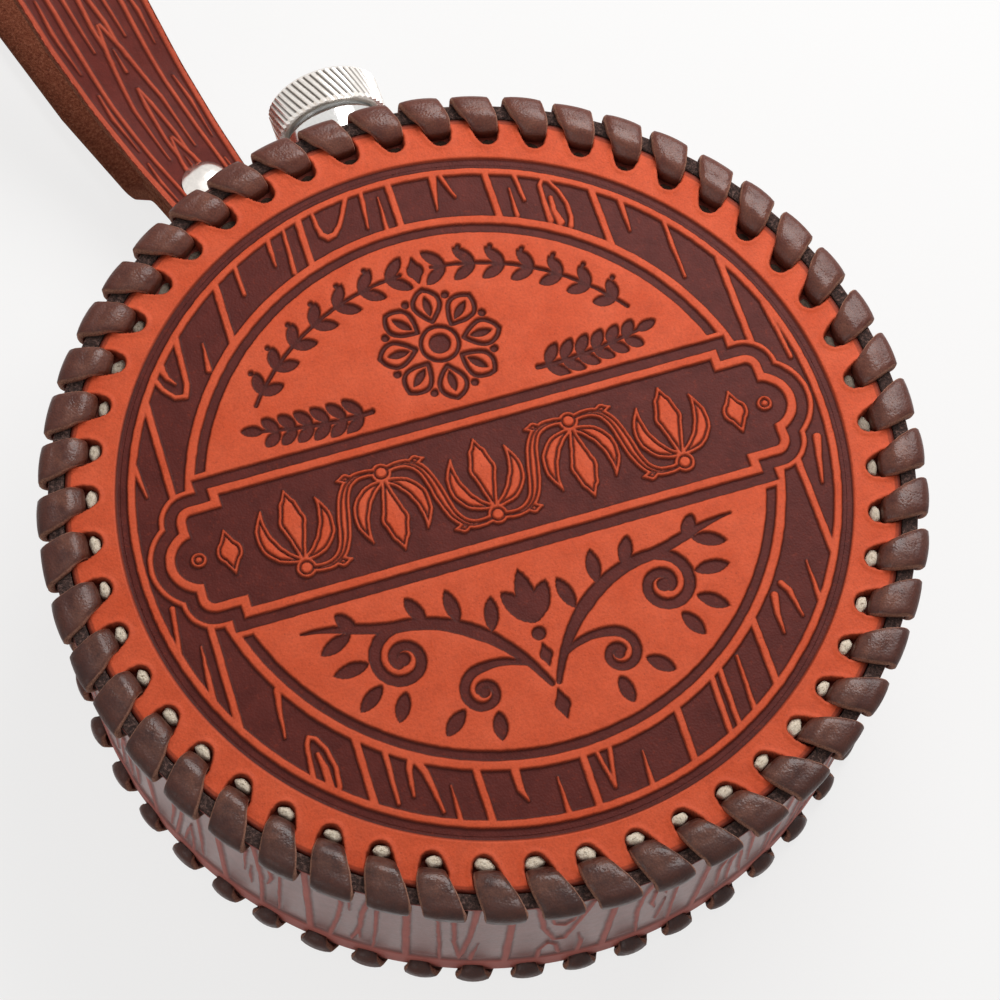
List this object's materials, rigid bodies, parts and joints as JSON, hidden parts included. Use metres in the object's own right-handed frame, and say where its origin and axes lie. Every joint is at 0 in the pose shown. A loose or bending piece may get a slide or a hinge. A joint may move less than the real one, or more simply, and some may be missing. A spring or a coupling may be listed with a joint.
{
  "type": "leather-covered canteen flask",
  "caption": "Flat round drinking flask: steel bottle in a hand-laced embossed leather casing, with a knurled screw cap and a leather wrist strap.",
  "frame": {"origin": "centre of the back leather disc's outer face", "axes": "+Z out of the embossed front face, +Y out of the neck, +X to the right when the front is seen with the neck up"},
  "size_m": [0.149, 0.2547, 0.0468],
  "materials": {
    "tooled_leather": "smooth dyed leather, embossed, satin",
    "dark_leather": "dark stained leather with raised margins, glossy",
    "lace_leather": "pebbled dark brown lace, waxed",
    "strap_leather": "grain-embossed strap leather, satin",
    "washer_leather": "plain cut leather",
    "felt": "grey-brown felt",
    "cord": "natural cotton cord",
    "bottle_steel": "brushed stainless steel",
    "cap_steel": "knurled and polished nickel",
    "collar_steel": "polished",
    "core_plastic": "moulded off-white insert",
    "seal_rubber": "soft food-grade sealing disc",
    "wire_steel": "nickel-plated wire",
    "rivet_metal": "nickel-plated, domed"
  },
  "bodies": {
    "flask": {"bottle_front_shell": "bottle_steel", "bottle_back_shell": "bottle_steel", "bottle_neck": "bottle_steel", "neck_washer": "washer_leather", "neck_collar": "collar_steel", "front_disc": "tooled_leather", "back_disc": "tooled_leather", "side_wall": "dark_leather", "front_lacing": "lace_leather", "back_lacing": "lace_leather", "front_filler_cord": "cord", "back_filler_cord": "cord", "front_lining": "felt", "back_lining": "felt", "strap_tab": "dark_leather", "tab_rivets": "rivet_metal"},
    "seal": {"cap_seal": "seal_rubber"},
    "cap": {"cap_shell": "cap_steel", "cap_core": "core_plastic"},
    "ring": {"strap_ring": "wire_steel"},
    "strap": {"strap": "strap_leather", "strap_rivet": "rivet_metal"}
  },
  "joints": [
    {"name": "cap_lift", "type": "slide", "parent": "flask", "child": "seal", "axis": [0, 1, 0], "range_m": [0, 0.014]},
    {"name": "cap_turn", "type": "hinge", "parent": "seal", "child": "cap", "pos_m": [0, 0.088, 0.022], "axis": [0, 1, 0], "range_deg": [0, 2520]},
    {"name": "ring_swing", "type": "hinge", "parent": "flask", "child": "ring", "pos_m": [-0.02202, 0.07295, 0.022], "axis": [0.9573, 0.289, 0], "range_deg": [-10, 60]},
    {"name": "strap_swing", "type": "hinge", "parent": "ring", "child": "strap", "pos_m": [-0.02312, 0.07659, 0.01384], "axis": [0.9573, 0.289, 0], "range_deg": [-60, 33]}
  ],
  "couplings": [
    {"joint": "cap_lift", "follows": "cap_turn", "m_per_rad": 0.00031831}
  ]
}
